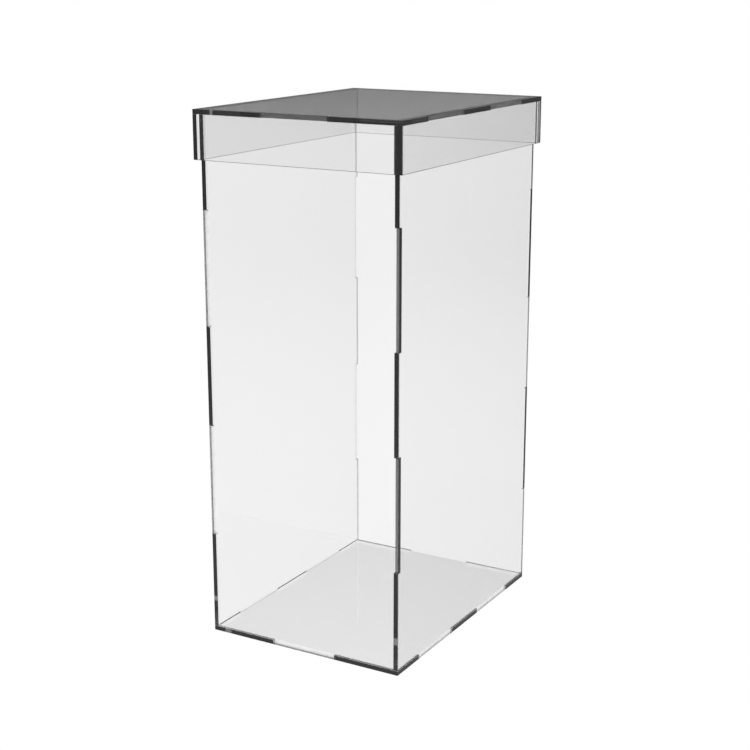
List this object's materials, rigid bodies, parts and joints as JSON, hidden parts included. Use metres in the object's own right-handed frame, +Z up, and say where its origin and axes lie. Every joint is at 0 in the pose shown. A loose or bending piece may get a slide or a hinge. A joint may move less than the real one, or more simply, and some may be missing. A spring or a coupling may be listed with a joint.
{
  "type": "display case",
  "caption": "Tall clear acrylic display case for a small exhibit: an open-topped box of finger-jointed flat panels, closed by a shallow lid that lifts off its rim.",
  "frame": {"origin": "centre of the case's underside, on the surface that it stands on", "axes": "+Z up, the way the lid lifts; +X across the narrow walls, so the front wall faces -Y and the right wall faces +X"},
  "size_m": [0.0786, 0.1036, 0.185],
  "materials": {
    "case_acrylic": "clear, glossy faces with satin laser-cut edges",
    "lid_acrylic": "clear, glossy faces with satin laser-cut edges"
  },
  "bodies": {
    "case": {"base_panel": "case_acrylic", "front_panel": "case_acrylic", "back_panel": "case_acrylic", "left_panel": "case_acrylic", "right_panel": "case_acrylic"},
    "lid": {"lid_top": "lid_acrylic", "lid_front_skirt": "lid_acrylic", "lid_back_skirt": "lid_acrylic", "lid_left_skirt": "lid_acrylic", "lid_right_skirt": "lid_acrylic"}
  },
  "joints": [
    {"name": "lid_lift", "type": "slide", "parent": "case", "child": "lid", "axis": [0, 0, 1], "range_m": [0, 0.1]}
  ]
}
